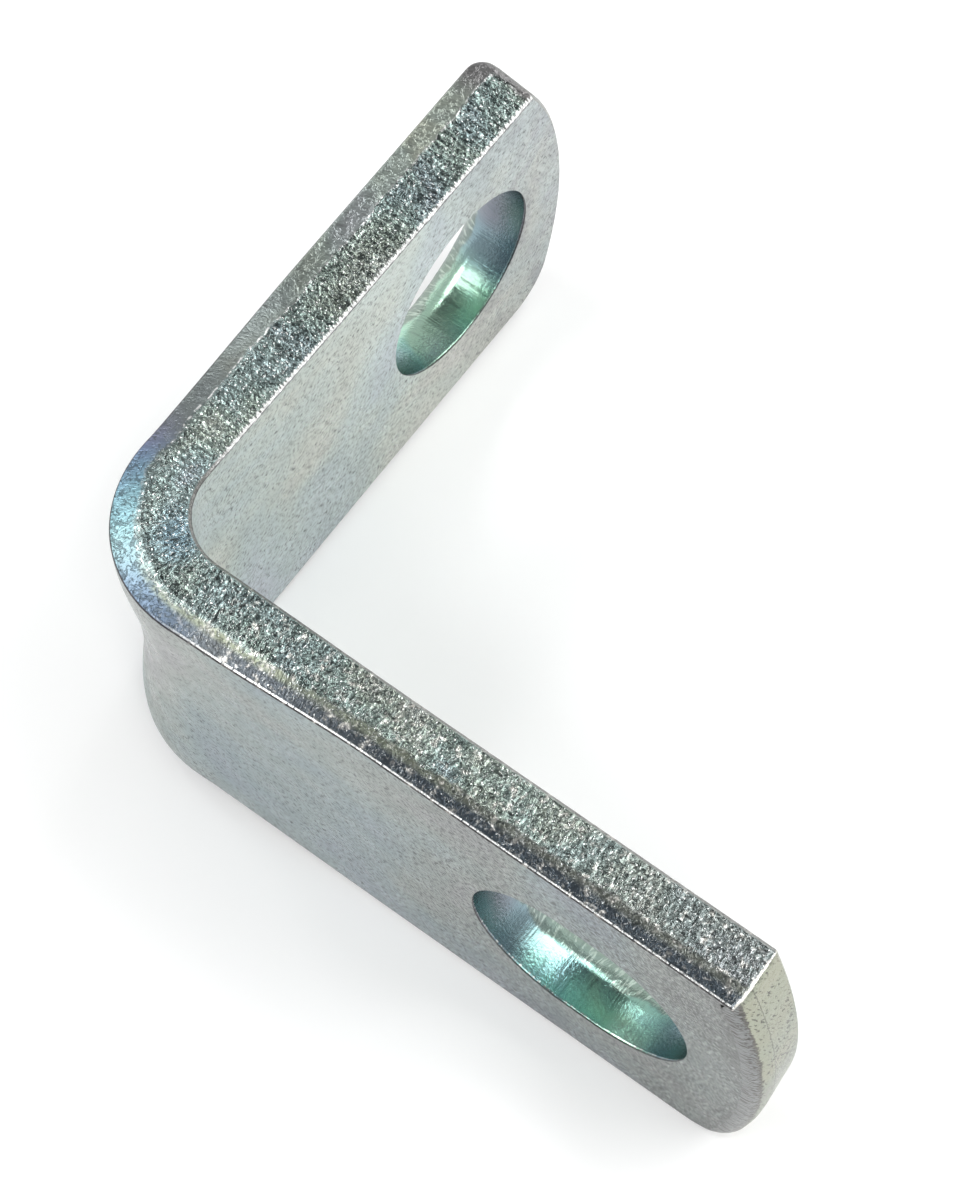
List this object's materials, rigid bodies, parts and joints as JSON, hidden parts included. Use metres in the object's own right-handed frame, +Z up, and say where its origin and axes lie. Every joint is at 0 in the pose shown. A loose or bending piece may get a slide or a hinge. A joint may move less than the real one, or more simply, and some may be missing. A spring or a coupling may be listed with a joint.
{
  "type": "mounting bracket",
  "caption": "Right-angle mounting bracket bent from thick zinc-plated steel strip, with a round bolt hole in the short leg and a slotted hole in the long leg.",
  "frame": {"origin": "middle of the bracket's footprint, on the surface that its lower long edge stands on", "axes": "+X along the long leg away from the bend, +Y along the short leg away from the bend, +Z up across the strip's width"},
  "size_m": [0.0514, 0.0444, 0.025],
  "materials": {
    "zinc_plated_steel": "satin zinc plating with a clear blue passivate, rough and dark on the sheared edges"
  },
  "bodies": {
    "root": {"angle_bracket": "zinc_plated_steel"}
  },
  "joints": []
}
